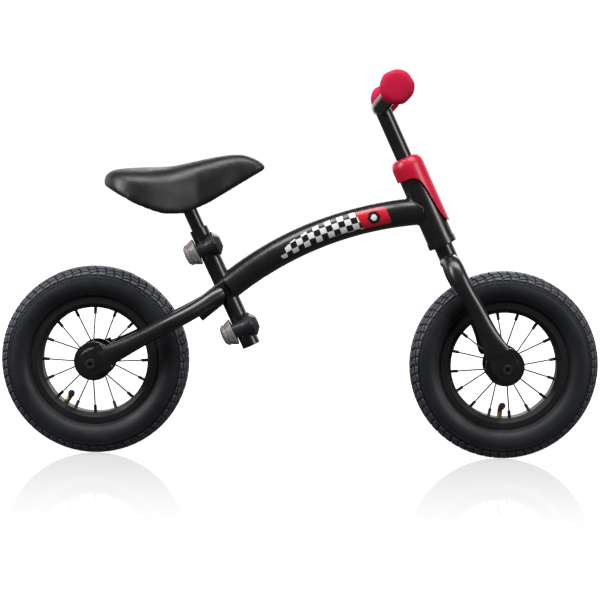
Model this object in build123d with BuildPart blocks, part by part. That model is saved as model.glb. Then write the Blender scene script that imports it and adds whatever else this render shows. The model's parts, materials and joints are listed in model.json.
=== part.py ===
from build123d import *
import os
from math import atan2, cos, degrees, radians, sin

# Balance bike with 10 inch wheels, in millimetres.
# +X is forward, +Z is up, and the bike's right side faces -Y.
# The origin lies on the ground, midway between the two tyre contact points.

os.makedirs("parts", exist_ok=True)

# ---------------------------------------------------------------- driving sizes
TYRE_R = 130.0              # outside radius of a 10 inch balloon tyre
TYRE_HALF_W = 25.0
TYRE_WALL = 4.0
WHEELBASE = 564.0
LEAN = 25.0                 # head tube and seat tube lean back by the same angle

RIM_R_IN = 73.0             # radius of the rim's open middle
RIM_R_OUT = 87.3
RIM_HALF_W = 15.0
RIM_WALL = 1.6
SPOKE_COUNT = 16
SPOKE_R = 1.0
FLANGE_R = 26.7
FLANGE_Y = 22.0
BEARING_R = 13.0            # 26 x 10 x 8 ball bearing
BEARING_BORE_R = 5.0
BEARING_W = 8.0
RUNNING_FIT = 0.05          # radial clearance of shafts that turn or slide
TIP_Y_IN = 44.0             # inner face of the flattened tube ends at the axles
TIP_T = 6.0
TIP_R = 17.0

HEAD_BASE = (195.4, 0, 294.6)   # lower end of the headset, on the steering axis
HEAD_R = 19.05
HEAD_V = (8.5, 112.0)           # head tube from the lower cup to the upper cup
STEERER_R = 12.7
QUILL_R = 11.1

SEAT_MID = (-103.6, 0, 232.7)   # middle of the seat tube, where the main tube joins it
SEAT_HALF = 88.4
SEAT_R = 12.7
POST_R = 9.5
POST_V = (-38.0, 140.0)
CLAMP_V = 60.4                  # height of the two clamps from the tube's middle

MAIN_R = 19.05
MAIN_WALL = 1.8
MAIN_ARC_R = 474.0              # the main tube is one long arc
MAIN_ARC_C = (204.1, -131.2)

# ---------------------------------------------------------------- frames
LEAN_S, LEAN_C = sin(radians(LEAN)), cos(radians(LEAN))
FORWARD = (LEAN_C, 0, LEAN_S)   # across a leaning tube, towards the front wheel
UPWARD = (-LEAN_S, 0, LEAN_C)   # along a leaning tube, towards its top

head = Plane(origin=HEAD_BASE, x_dir=FORWARD, z_dir=UPWARD)
head_side = Plane(origin=HEAD_BASE, x_dir=FORWARD, z_dir=(0, -1, 0))
head_axis = Axis(HEAD_BASE, UPWARD)
seat = Plane(origin=SEAT_MID, x_dir=FORWARD, z_dir=UPWARD)


def on(plane, forward, across, along):
    """Point in a leaning tube's frame: forward, towards +Y, and up the tube."""
    return plane.from_local_coords((forward, across, along))


def ring(plane, start, length, outer, inner):
    """Straight tube or ring along the plane's normal, in the current part."""
    with BuildSketch(plane.offset(start)) as profile:
        Circle(outer)
        Circle(inner, mode=Mode.SUBTRACT)
    extrude(profile.sketch, amount=length)


def rod(plane, start, length, radius, mode=Mode.ADD):
    """Straight round bar along the plane's normal, in the current part."""
    with BuildSketch(plane.offset(start)) as profile:
        Circle(radius)
    extrude(profile.sketch, amount=length, mode=mode)


def section_planes(points):
    """A plane across the path at each of its points, with local x kept in the side view."""
    planes = []
    for i, point in enumerate(points):
        before = points[max(i - 1, 0)]
        after = points[min(i + 1, len(points) - 1)]
        run = Vector(*after) - Vector(*before)
        side = Vector(0, 1, 0).cross(run)
        planes.append(Plane(origin=point, x_dir=side, z_dir=run))
    return planes


def ovals(planes, sizes, inset):
    """Oval faces for a loft, each (side-view width, depth) shrunk all round by inset."""
    faces = []
    for plane, (width, depth) in zip(planes, sizes):
        with BuildSketch(plane) as profile:
            Ellipse(width / 2 - inset, depth / 2 - inset)
        faces.append(profile.sketch.face())
    return faces


def oval_tube(points, sizes, wall, hollow_until):
    """Lofted tube through oval sections (side-view width, depth), open at its first end."""
    planes = section_planes(points)
    loft(ovals(planes, sizes, 0))
    loft(ovals(planes[:hollow_until], sizes, wall), mode=Mode.SUBTRACT)


# ---------------------------------------------------------------- wheels
def make_wheel(end, axle_x, spoke_phase, valve_angle):
    """All the pieces that spin on one axle; end is front or rear."""
    centre = Vector(axle_x, 0, TYRE_R)
    half_section = Plane(origin=centre, x_dir=(0, 1, 0), z_dir=(1, 0, 0))
    axle = Axis(centre, (0, 1, 0))
    spoke_lines = []
    for i in range(SPOKE_COUNT):
        angle = radians(spoke_phase + i * 360 / SPOKE_COUNT)
        outward = Vector(cos(angle), 0, sin(angle))
        flange_y = -FLANGE_Y if i % 2 == 0 else FLANGE_Y
        start = centre + outward * (FLANGE_R - 2.7) + Vector(0, flange_y, 0)
        stop = centre + outward * (RIM_R_IN + 3)
        spoke_lines.append(Plane(origin=start, z_dir=stop - start))
    spoke_run = (stop - start).length
    valve_out = Vector(cos(radians(valve_angle)), 0, sin(radians(valve_angle)))
    valve_plane = Plane(origin=centre, x_dir=(0, 1, 0), z_dir=valve_out)

    # Balloon tyre: an oval casing with two beads that drop between the rim's walls.
    casing_r = TYRE_R - 23
    with BuildPart() as tyre:
        with BuildSketch(half_section):
            with Locations((0, casing_r)):
                Ellipse(TYRE_HALF_W, 23)
            with Locations((-11.4, 84), (11.4, 84)):
                Rectangle(3.6, 8.4)
            with Locations((0, casing_r)):
                Ellipse(TYRE_HALF_W - TYRE_WALL, 23 - TYRE_WALL, mode=Mode.SUBTRACT)
            with Locations((0, 83)):
                Rectangle(19.2, 12, mode=Mode.SUBTRACT)
        revolve(axis=axle)
    tyre.part.label = f"{end}_tyre"
    export_step(tyre.part, f"parts/{end}_tyre.step")

    with BuildPart() as inner_tube:
        with BuildSketch(half_section):
            with Locations((0, casing_r)):
                Circle(18)
                Circle(16.8, mode=Mode.SUBTRACT)
        revolve(axis=axle)
        rod(valve_plane, casing_r - 24, 14, 3.6, Mode.SUBTRACT)
    inner_tube.part.label = f"{end}_inner_tube"
    export_step(inner_tube.part, f"parts/{end}_inner_tube.step")

    # Rolled rim: flat spoke bed, sloped shoulders and two upright walls.
    with BuildPart() as rim:
        with BuildSketch(half_section):
            with BuildLine():
                Polyline(
                    (-RIM_HALF_W, RIM_R_OUT),
                    (-RIM_HALF_W, 79),
                    (-10, RIM_R_IN),
                    (10, RIM_R_IN),
                    (RIM_HALF_W, 79),
                    (RIM_HALF_W, RIM_R_OUT),
                    (RIM_HALF_W - RIM_WALL, RIM_R_OUT),
                    (RIM_HALF_W - RIM_WALL, 79.6),
                    (9.3, RIM_R_IN + RIM_WALL),
                    (-9.3, RIM_R_IN + RIM_WALL),
                    (RIM_WALL - RIM_HALF_W, 79.6),
                    (RIM_WALL - RIM_HALF_W, RIM_R_OUT),
                    close=True,
                )
            make_face()
        revolve(axis=axle)
        for line in spoke_lines:
            rod(line, spoke_run - 8, 12, 2.3, Mode.SUBTRACT)
        rod(valve_plane, RIM_R_IN - 2, 6, 3.8, Mode.SUBTRACT)
    rim.part.label = f"{end}_rim"
    export_step(rim.part, f"parts/{end}_rim.step")

    # Radial spokes, alternately from the right and the left flange.
    with BuildPart() as spokes:
        for line in spoke_lines:
            rod(line, 0, spoke_run - 4, SPOKE_R)
    spokes.part.label = f"{end}_spokes"
    export_step(spokes.part, f"parts/{end}_spokes.step")

    with BuildPart() as nipples:
        for line in spoke_lines:
            ring(line, spoke_run - 13, 13.6, 2.2, SPOKE_R + 0.05)
            ring(line, spoke_run + 0.6, 1.6, 3.1, SPOKE_R + 0.05)
    nipples.part.label = f"{end}_spoke_nipples"
    export_step(nipples.part, f"parts/{end}_spoke_nipples.step")

    # Hub shell: two spoke flanges on a waisted barrel, with a bearing seat at each end.
    with BuildPart() as hub:
        with BuildSketch(half_section):
            with BuildLine():
                Polyline(
                    (0, 8),
                    (0, 14),
                    (14, 14),
                    (19.5, 19),
                    (19.5, FLANGE_R),
                    (24.5, FLANGE_R),
                    (24.5, 19),
                    (27, 16),
                    (36.5, 16),
                    (36.5, BEARING_R),
                    (28, BEARING_R),
                    (28, 8),
                    close=True,
                )
            make_face()
            mirror(about=Plane.YZ)
        revolve(axis=axle)
        for line in spoke_lines:
            rod(line, -0.3, 8, SPOKE_R + 0.05, Mode.SUBTRACT)
    hub.part.label = f"{end}_hub_shell"
    export_step(hub.part, f"parts/{end}_hub_shell.step")

    across = Plane(origin=centre, x_dir=(1, 0, 0), z_dir=(0, -1, 0))
    with BuildPart() as bearings:
        for start in (28, -28 - BEARING_W):
            ring(across, start, BEARING_W, BEARING_R, BEARING_BORE_R)
    bearings.part.label = f"{end}_hub_bearings"
    export_step(bearings.part, f"parts/{end}_hub_bearings.step")

    # Bent valve: it leaves the rim inwards and turns towards the bike's right side.
    bend_r = 61.0
    with BuildPart() as valve_stem:
        with BuildLine():
            FilletPolyline(
                centre + valve_out * 84,
                centre + valve_out * bend_r,
                centre + valve_out * (bend_r - 5) - Vector(0, 16, 0),
                radius=6,
            )
        with BuildSketch(Plane(origin=centre + valve_out * 84, z_dir=valve_out * -1)):
            Circle(3.4)
        sweep()
    valve_stem.part.label = f"{end}_valve_stem"
    export_step(valve_stem.part, f"parts/{end}_valve_stem.step")

    cap_start = centre + valve_out * (bend_r - 5) - Vector(0, 16, 0)
    cap_run = valve_out * -5 - Vector(0, 16, 0)
    with BuildPart() as valve_cap:
        with BuildSketch(Plane(origin=cap_start, z_dir=cap_run)):
            Circle(4.6)
        extrude(amount=9)
        fillet(valve_cap.faces().sort_by(Axis.Y)[0].edges(), 1.2)
    valve_cap.part.label = f"{end}_valve_cap"
    export_step(valve_cap.part, f"parts/{end}_valve_cap.step")


def make_axle(end, axle_x):
    """The axle, its bolts and its spacers, which stay with the frame or the fork."""
    across = Plane(origin=(axle_x, 0, TYRE_R), x_dir=(1, 0, 0), z_dir=(0, -1, 0))
    with BuildPart() as shaft:
        rod(across, -TIP_Y_IN, 2 * TIP_Y_IN, BEARING_BORE_R - RUNNING_FIT)
        rod(across, -TIP_Y_IN, 22, 3.05, Mode.SUBTRACT)
        rod(across, TIP_Y_IN - 22, 22, 3.05, Mode.SUBTRACT)
    shaft.part.label = f"{end}_axle"
    export_step(shaft.part, f"parts/{end}_axle.step")

    head_y = TIP_Y_IN + TIP_T
    with BuildPart() as bolts:
        for side in (across, Plane(origin=(axle_x, 0, TYRE_R), x_dir=(1, 0, 0), z_dir=(0, 1, 0))):
            rod(side, head_y, 5.5, 6.5)
            rod(side, head_y - 24, 24, 3)
            with BuildSketch(side.offset(head_y + 5.5)):
                RegularPolygon(3.4, 6)
            extrude(amount=-3.6, mode=Mode.SUBTRACT)
    bolts.part.label = f"{end}_axle_bolts"
    export_step(bolts.part, f"parts/{end}_axle_bolts.step")

    with BuildPart() as spacers:
        for start in (36.8, -TIP_Y_IN):
            ring(across, start, TIP_Y_IN - 36.8, 8, BEARING_BORE_R)
    spacers.part.label = f"{end}_axle_spacers"
    export_step(spacers.part, f"parts/{end}_axle_spacers.step")


FRONT_X, REAR_X = WHEELBASE / 2, -WHEELBASE / 2
make_wheel("front", FRONT_X, spoke_phase=7.8, valve_angle=-93)
make_wheel("rear", REAR_X, spoke_phase=0, valve_angle=-124)
make_axle("front", FRONT_X)
make_axle("rear", REAR_X)

# ---------------------------------------------------------------- head tube and headset
with BuildPart() as head_tube:
    ring(head, HEAD_V[0], HEAD_V[1] - HEAD_V[0], HEAD_R, HEAD_R - 2)
head_tube.part.label = "head_tube"
export_step(head_tube.part, "parts/head_tube.step")

with BuildPart() as lower_headset_cup:
    ring(head, 0, HEAD_V[0], 20, 15)
    rod(head, 2.2, HEAD_V[0] - 2.2, 17.3, Mode.SUBTRACT)
    fillet(lower_headset_cup.faces().sort_by(head_axis)[0].edges().sort_by(SortBy.RADIUS)[-1], 1)
lower_headset_cup.part.label = "lower_headset_cup"
export_step(lower_headset_cup.part, "parts/lower_headset_cup.step")

with BuildPart() as upper_headset_cup:
    ring(head, HEAD_V[1], 8, HEAD_R, 15)
    rod(head, HEAD_V[1] + 2, 6, 17.3, Mode.SUBTRACT)
upper_headset_cup.part.label = "upper_headset_cup"
export_step(upper_headset_cup.part, "parts/upper_headset_cup.step")

# Red cover: a domed collar on the headset with a tongue down the front of the head tube.
COVER_R = 22.2
COVER_TOP = 130.5
with BuildPart() as head_cover:
    with BuildSketch(head_side):
        with BuildLine():
            Line((QUILL_R + 0.5, 128.2), (QUILL_R + 0.5, COVER_TOP))
            Line((QUILL_R + 0.5, COVER_TOP), (14, COVER_TOP))
            Spline((14, COVER_TOP), (20, 125.8), (COVER_R, 114), tangents=((1, -0.1), (0, -1)))
            Line((COVER_R, 114), (COVER_R, 20))
            Line((COVER_R, 20), (HEAD_R + 0.3, 20))
            Line((HEAD_R + 0.3, 20), (HEAD_R + 0.3, 121))
            Line((HEAD_R + 0.3, 121), (QUILL_R + 0.5, 128.2))
        make_face()
    revolve(axis=head_axis)
    with BuildSketch(head_side):
        with BuildLine():
            Line((-30, 102.3), (-8, 102.3))
            Bezier((-8, 102.3), (3, 102.3), (8.2, 97), (10.3, 78))
            Line((10.3, 78), (13.6, 50))
            Bezier((13.6, 50), (15.4, 36), (18.6, 27.5), (24, 26.8))
            Line((24, 26.8), (30, 140))
            Line((30, 140), (-30, 140))
            Line((-30, 140), (-30, 102.3))
        make_face()
    extrude(amount=30, both=True, mode=Mode.INTERSECT)
head_cover.part.label = "head_cover"
export_step(head_cover.part, "parts/head_cover.step")

# ---------------------------------------------------------------- seat tube and its clamps
BARREL_Y = -14.5            # the cotter clamps pass the seat post on the bike's right side
BARREL_R = 9.9
COTTER_R = 6.0


def clamp_plane(height):
    """Frame of a clamp's bolt: local z runs forward along the bolt."""
    return Plane(origin=on(seat, 0, BARREL_Y, height), x_dir=UPWARD, z_dir=FORWARD)


with BuildPart() as seat_tube:
    ring(seat, -SEAT_HALF, 2 * SEAT_HALF, SEAT_R, POST_R + RUNNING_FIT)
    for height in (CLAMP_V, -CLAMP_V):
        rod(clamp_plane(height), -SEAT_R, 2 * SEAT_R, BARREL_R, Mode.SUBTRACT)
seat_tube.part.label = "seat_tube"
export_step(seat_tube.part, "parts/seat_tube.step")


def make_clamp(level, height):
    """Cotter clamp that locks the seat post; level is upper or lower."""
    bolt_plane = clamp_plane(height)
    bolt_side = Plane(origin=bolt_plane.origin, x_dir=UPWARD, z_dir=(0, 1, 0))
    bolt_axis = Axis(bolt_plane.origin, FORWARD)

    # Welded barrel that flares forward to the width of the hand knob.
    with BuildPart() as barrel:
        with BuildSketch(bolt_side):
            with BuildLine():
                Line((0, 12.7), (15.9, 12.7))
                Spline((15.9, 12.7), (12.6, 6.8), (BARREL_R, -2), tangents=((-0.7, -1), (0, -1)))
                Line((BARREL_R, -2), (BARREL_R, -12.7))
                Line((BARREL_R, -12.7), (0, -12.7))
                Line((0, -12.7), (0, 12.7))
            make_face()
        revolve(axis=bolt_axis)
        rod(seat, height - 20, 40, SEAT_R, Mode.SUBTRACT)
        rod(bolt_plane, -12.7, 25.4, BARREL_R)
        rod(bolt_plane, -12.7, 25.4, COTTER_R + 0.15, Mode.SUBTRACT)
        rod(seat, height - 20, 40, POST_R + RUNNING_FIT, Mode.SUBTRACT)
        split(bisect_by=Plane(origin=(0, -0.8, 0), z_dir=(0, -1, 0)), keep=Keep.TOP)
    barrel.part.label = f"{level}_clamp_barrel"
    export_step(barrel.part, f"parts/{level}_clamp_barrel.step")

    # Two round wedges, hollowed where they press on the seat post.
    with BuildPart() as cotters:
        for start in (-12, 1.5):
            ring(bolt_plane, start, 10.5, COTTER_R, 2.6)
        rod(seat, height - 20, 40, POST_R + RUNNING_FIT, Mode.SUBTRACT)
    cotters.part.label = f"{level}_clamp_cotters"
    export_step(cotters.part, f"parts/{level}_clamp_cotters.step")

    with BuildPart() as bolt:
        rod(bolt_plane, -20, 41, 2.5)
        with BuildSketch(bolt_plane.offset(-24)):
            RegularPolygon(4.6, 6)
        extrude(amount=4)
    bolt.part.label = f"{level}_clamp_bolt"
    export_step(bolt.part, f"parts/{level}_clamp_bolt.step")

    # Grey translucent grip that holds the bolt's head.
    with BuildPart() as grip:
        with BuildSketch(bolt_side):
            with BuildLine():
                Polyline((0, -13), (18.2, -13), (18.4, -14.5), (15.4, -21.5), (14.2, -22.2))
                Polyline((14.2, -22.2), (14.8, -23.2), (14.4, -26.5), (11, -29.6), (0, -31.2))
                Line((0, -31.2), (0, -13))
            make_face()
        revolve(axis=bolt_axis)
        rod(bolt_plane, -20, 7.1, 2.5, Mode.SUBTRACT)
        with BuildSketch(bolt_plane.offset(-24)):
            RegularPolygon(4.6, 6)
        extrude(amount=4, mode=Mode.SUBTRACT)
    grip.part.label = f"{level}_counter_grip"
    export_step(grip.part, f"parts/{level}_counter_grip.step")

    # Black eight-sided hand knob that tightens the clamp.
    with BuildPart() as knob:
        with BuildSketch(bolt_plane.offset(13.1)):
            RegularPolygon(16.9, 8)
        extrude(amount=2.5)
        with BuildSketch(bolt_plane.offset(15.6)):
            RegularPolygon(16.9, 8)
        with BuildSketch(bolt_plane.offset(22.4)):
            RegularPolygon(8, 8)
        loft()
        rod(bolt_plane, 13, 8.3, 2.5 + RUNNING_FIT, Mode.SUBTRACT)
    knob.part.label = f"{level}_knob"
    export_step(knob.part, f"parts/{level}_knob.step")


make_clamp("upper", CLAMP_V)
make_clamp("lower", -CLAMP_V)

# ---------------------------------------------------------------- main tube, yoke and stays
def arc_angle(x, z):
    """Angle of a point about the centre of the main tube's arc."""
    return degrees(atan2(z - MAIN_ARC_C[1], x - MAIN_ARC_C[0]))


rear_angle = arc_angle(SEAT_MID[0], SEAT_MID[2])
front_angle = arc_angle(167, 341.3)
with BuildPart() as main_tube:
    with BuildLine(Plane.XZ):
        spine = CenterArc(MAIN_ARC_C, MAIN_ARC_R, front_angle, rear_angle - front_angle)
    with BuildSketch(Plane(origin=spine @ 0, z_dir=spine % 0)):
        Circle(MAIN_R)
        Circle(MAIN_R - MAIN_WALL, mode=Mode.SUBTRACT)
    sweep()
    rod(head, 0, 120, HEAD_R, Mode.SUBTRACT)
    rod(seat, -50, 100, SEAT_R, Mode.SUBTRACT)
    with BuildSketch(Plane.XZ):
        with Locations((-111, 224)):
            Circle(17)
    extrude(amount=30, both=True, mode=Mode.SUBTRACT)
main_tube.part.label = "main_tube"
export_step(main_tube.part, "parts/main_tube.step")

# Box-section yoke behind the seat tube, in line with the main tube's rear end.
YOKE_SLOPE = 39.5
YOKE_HALF_W = 20.0
YOKE_H = 28.0
YOKE_DROP = 3.0             # the yoke's middle lies below the seat tube's middle
YOKE_WALL = 3.0
YOKE_LENGTH = 57.5
yoke_plane = Plane(
    origin=SEAT_MID,
    x_dir=(0, 1, 0),
    z_dir=(-cos(radians(YOKE_SLOPE)), 0, -sin(radians(YOKE_SLOPE))),
)


with BuildPart() as yoke_envelope:
    with BuildSketch(yoke_plane.offset(-6)):
        with Locations((0, YOKE_DROP)):
            RectangleRounded(2 * YOKE_HALF_W, YOKE_H, 4)
    extrude(amount=YOKE_LENGTH)

with BuildPart() as rear_yoke:
    add(yoke_envelope.part)
    with BuildSketch(yoke_plane.offset(-6)):
        with Locations((0, YOKE_DROP + YOKE_WALL)):
            Rectangle(2 * (YOKE_HALF_W - YOKE_WALL), YOKE_H)
    extrude(amount=YOKE_LENGTH - YOKE_WALL, mode=Mode.SUBTRACT)
    split(bisect_by=Plane(origin=(-103.8, 0, 0), z_dir=(1, 0, 0)), keep=Keep.BOTTOM)
    rod(seat, -80, 160, SEAT_R, Mode.SUBTRACT)
    add(main_tube.part, mode=Mode.SUBTRACT)
rear_yoke.part.label = "rear_yoke"
export_step(rear_yoke.part, "parts/rear_yoke.step")

STAY_PATH = (
    (-107, 13, 225.5),
    (-125, 21.5, 214.5),
    (-149, 32.5, 199.5),
    (-171, 39.5, 187.5),
    (-204, 42.5, 170.0),
    (-234, 44.5, 153.5),
    (-254, 46, 143.0),
    (-268, 47, 136.0),
)
STAY_SIZES = ((21, 20), (22, 21), (22, 22), (22, 22), (22, 21), (24, 17), (27, 12), (31, 9))
TIP_HALF = TIP_Y_IN + TIP_T / 2


def flat_tip(side, axle_x, towards, reach):
    """Flattened tube end at an axle: a round-ended plate with the bolt's hole."""
    tip = Plane(origin=(axle_x, side * TIP_Y_IN, TYRE_R), x_dir=(1, 0, 0), z_dir=(0, side, 0))
    turn = towards if side < 0 else -towards
    with BuildSketch(tip) as profile:
        with Locations(Rotation(0, 0, turn)):
            with Locations((reach / 2, 0)):
                Rectangle(reach, 2 * TIP_R)
        Circle(TIP_R)
    extrude(profile.sketch, amount=TIP_T)


for hand, side in (("right", -1), ("left", 1)):
    with BuildPart() as stay:
        points = [(x, side * y, z) for x, y, z in STAY_PATH]
        oval_tube(points, STAY_SIZES, 2.0, 6)
        flat_tip(side, REAR_X, 27.0, 24)
        add(yoke_envelope.part, mode=Mode.SUBTRACT)
        rod(Plane(origin=(REAR_X, 0, TYRE_R), z_dir=(0, 1, 0)), -60, 120, 3.2, Mode.SUBTRACT)
    stay.part.label = f"{hand}_stay"
    export_step(stay.part, f"parts/{hand}_stay.step")

# ---------------------------------------------------------------- fork
CROWN_V = -22.0             # the two legs meet here, across the foot of the steerer
LEG_Y = 39.5
CROWN_DROP = 34.0
LEG_PATH = []
for turn in (0, 30, 60, 90):
    drop = CROWN_DROP * (1 - cos(radians(turn)))
    LEG_PATH.append((0, LEG_Y * sin(radians(turn)), CROWN_V - drop))
LEG_PATH += [(3, 40, -84), (4.3, 41.5, -108), (5, 43.5, -130), (5.2, 46, -150), (6.5, 47, -166)]
LEG_SIZES = [(24.4, 24), (24.4, 23), (25, 21), (24.6, 19), (22.8, 18)]
LEG_SIZES += [(24, 17), (26, 15), (32, 11), (34, 8)]

with BuildPart() as leg_envelope:
    for side in (-1, 1):
        points = [on(head, u, side * y, v) for u, y, v in LEG_PATH]
        loft(ovals(section_planes(points), LEG_SIZES, 0))

for hand, side in (("right", -1), ("left", 1)):
    with BuildPart() as leg:
        points = [on(head, u, side * y, v) for u, y, v in LEG_PATH]
        oval_tube(points, LEG_SIZES, 2.0, 8)
        flat_tip(side, FRONT_X, 90 + LEAN, 24)
        rod(Plane(origin=(FRONT_X, 0, TYRE_R), z_dir=(0, 1, 0)), -60, 120, 3.2, Mode.SUBTRACT)
    leg.part.label = f"{hand}_fork_leg"
    export_step(leg.part, f"parts/{hand}_fork_leg.step")

with BuildPart() as fork_steerer:
    ring(head, CROWN_V, 146, STEERER_R, QUILL_R + 0.1)
    add(leg_envelope.part, mode=Mode.SUBTRACT)
fork_steerer.part.label = "fork_steerer"
export_step(fork_steerer.part, "parts/fork_steerer.step")

with BuildPart() as headset_races:
    ring(head, -0.8, 3.6, 14.6, STEERER_R)
    ring(head, 116.6, 3.6, 14.6, STEERER_R)
    with BuildSketch(head.offset(120.6)):
        RegularPolygon(16, 6)
        Circle(STEERER_R, mode=Mode.SUBTRACT)
    extrude(amount=3)
headset_races.part.label = "headset_races"
export_step(headset_races.part, "parts/headset_races.step")

with BuildPart() as headset_bearings:
    ring(head, 3.1, 3.6, 16.9, STEERER_R + 0.3)
    ring(head, 114.4, 2, 16.9, STEERER_R + 0.3)
headset_bearings.part.label = "headset_bearings"
export_step(headset_bearings.part, "parts/headset_bearings.step")

# ---------------------------------------------------------------- handlebar
BAR_R = 11.1
GRIP_U, GRIP_V = 18.6, 218.0    # grips stand forward of and above the stem's top
STEM_U, STEM_V = -2.0, 207.0
BAR_END_Y = 193.0
BAR_BEND_R = 26.0
BORE_R = BAR_R - 1.8
stem_top = on(head, STEM_U, 0, STEM_V)
bar_rise = on(head, GRIP_U, 0, GRIP_V) - stem_top
bar_plane = Plane(origin=stem_top, x_dir=(0, 1, 0), z_dir=Vector(0, 1, 0).cross(bar_rise))
RISE = bar_rise.length

# The bar is one bent tube, solid in the middle where the stem's bolt passes.
with BuildPart() as handlebar:
    with BuildLine(bar_plane):
        FilletPolyline(
            (-BAR_END_Y, RISE),
            (-76, RISE),
            (-26, 0),
            (26, 0),
            (76, RISE),
            (BAR_END_Y, RISE),
            radius=BAR_BEND_R,
        )
    bar_start = bar_plane.from_local_coords((-BAR_END_Y, RISE))
    with BuildSketch(Plane(origin=bar_start, z_dir=(0, 1, 0))):
        Circle(BAR_R)
    sweep()
    for side in (-1, 1):
        with BuildLine(bar_plane):
            FilletPolyline(
                (side * (BAR_END_Y + 2), RISE),
                (side * 76, RISE),
                (side * 26, 0),
                (side * 16, 0),
                radius=BAR_BEND_R,
            )
        bore_start = bar_plane.from_local_coords((side * (BAR_END_Y + 2), RISE))
        with BuildSketch(Plane(origin=bore_start, z_dir=(0, -side, 0))):
            Circle(BORE_R)
        sweep(mode=Mode.SUBTRACT)
    rod(head, STEM_V - 20, 40, 4.2, Mode.SUBTRACT)
    rod(head, STEM_V + 5, 20, 7.2, Mode.SUBTRACT)
handlebar.part.label = "handlebar"
export_step(handlebar.part, "parts/handlebar.step")

with BuildPart() as handlebar_stem:
    ring(head, 42, STEM_V - 42, QUILL_R, 5)
    with BuildSketch(Plane(origin=stem_top, z_dir=(0, 1, 0))):
        Circle(BAR_R)
    extrude(amount=20, both=True, mode=Mode.SUBTRACT)
    split(bisect_by=head.offset(46).rotated((0, 30, 0)), keep=Keep.TOP)
handlebar_stem.part.label = "handlebar_stem"
export_step(handlebar_stem.part, "parts/handlebar_stem.step")

with BuildPart() as stem_wedge:
    rod(head, 20, 30, QUILL_R - 0.3)
    rod(head, 20, 30, 4.2, Mode.SUBTRACT)
    split(bisect_by=head.offset(45.6).rotated((0, 30, 0)), keep=Keep.BOTTOM)
stem_wedge.part.label = "stem_wedge"
export_step(stem_wedge.part, "parts/stem_wedge.step")

with BuildPart() as stem_bolt:
    rod(head, 18, STEM_V + 5 - 18, 4)
    rod(head, STEM_V + 5, 7, 6.5)
    with BuildSketch(head.offset(STEM_V + 12)):
        RegularPolygon(3.4, 6)
    extrude(amount=-4, mode=Mode.SUBTRACT)
stem_bolt.part.label = "stem_bolt"
export_step(stem_bolt.part, "parts/stem_bolt.step")

# Rubber grips: a slightly barrelled sleeve with a thick round safety end.
GRIP_END_Y = 200.0
for hand, side in (("right", -1), ("left", 1)):
    centre = on(head, GRIP_U, 0, GRIP_V)
    section = Plane(origin=centre, x_dir=(0, side, 0), z_dir=(side, 0, 0))
    with BuildPart() as grip:
        with BuildSketch(section):
            with BuildLine():
                Line((88, 0), (88, 15))
                Line((88, 15), (91, 17.5))
                Line((91, 17.5), (94, 15))
                Spline((94, 15), (135, 16.6), (182, 14.6), tangents=((1, 0), (1, 0)))
                Spline((182, 14.6), (190, 21.4), (193, 22.2), tangents=((1, 0), (1, 0)))
                Line((193, 22.2), (195.5, 22.2))
                Spline((195.5, 22.2), (198.8, 19.5), (GRIP_END_Y, 0), tangents=((1, 0), (0, -1)))
                Line((GRIP_END_Y, 0), (88, 0))
            make_face()
        revolve(axis=Axis(centre, (0, 1, 0)))
        rod(Plane(origin=centre, z_dir=(0, side, 0)), 80, BAR_END_Y - 80, BAR_R, Mode.SUBTRACT)
    grip.part.label = f"{hand}_grip"
    export_step(grip.part, f"parts/{hand}_grip.step")

# ---------------------------------------------------------------- saddle
with BuildPart() as seat_post:
    ring(seat, POST_V[0], POST_V[1] - POST_V[0], POST_R, POST_R - 2)
seat_post.part.label = "seat_post"
export_step(seat_post.part, "parts/seat_post.step")

# Side outline of the padded saddle, nose up, with a deep skirt over the post.
SADDLE_HALF_W = 73.0
BASE_PLANE = Plane(origin=(-173.5, 0, 381), x_dir=(157, 0, 14), z_dir=(-14, 0, 157))
BASE_T = 3.0


def hollow_plan(inset):
    """Plan of the space inside the skirt, as a tall block in the current part."""
    with BuildSketch(Plane.XY.offset(290)) as plan:
        with BuildLine():
            Spline(
                (inset - 254, 0),
                (inset - 247, 40 - inset),
                (-225, 60 - inset),
                (-186, 48 - inset),
                (-140, 24 - inset),
                (-88 - inset, 0),
                tangents=((0, 1), (0.6, -1)),
            )
            Line((-88 - inset, 0), (inset - 254, 0))
        make_face()
        mirror(about=Plane.XZ)
    return plan.sketch


# The hollow under the saddle, inside the skirt, up to the base plate's upper face.
with BuildPart() as saddle_hollow:
    extrude(hollow_plan(0), amount=130)
    split(bisect_by=BASE_PLANE, keep=Keep.BOTTOM)

with BuildPart() as saddle_pad:
    with BuildSketch(Plane.XZ):
        with BuildLine():
            Spline(
                (-268.8, 369),
                (-269.7, 377),
                (-259.4, 392.5),
                (-225, 397.2),
                (-180.4, 399.4),
                (-130.8, 410.3),
                (-88, 417.6),
                (-57.1, 407.8),
                (-49, 396.5),
            )
            Line((-49, 396.5), (-137.8, 341))
            Spline((-137.8, 341), (-173, 331.5), (-209, 341), (-242.3, 357), (-268.8, 369))
        make_face()
    extrude(amount=SADDLE_HALF_W + 5, both=True)
    with BuildSketch(Plane.XY.offset(300)):
        with BuildLine():
            Spline(
                (-271, 0),
                (-262, 44),
                (-228, SADDLE_HALF_W),
                (-186, 60),
                (-140, 36),
                (-95, 25),
                (-60, 18),
                (-48, 0),
                tangents=((0, 1), (0, -1)),
            )
            Line((-48, 0), (-271, 0))
        make_face()
        mirror(about=Plane.XZ)
    extrude(amount=150, mode=Mode.INTERSECT)
    add(saddle_hollow.part, mode=Mode.SUBTRACT)
saddle_pad.part.label = "saddle_pad"
export_step(saddle_pad.part, "parts/saddle_pad.step")

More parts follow.
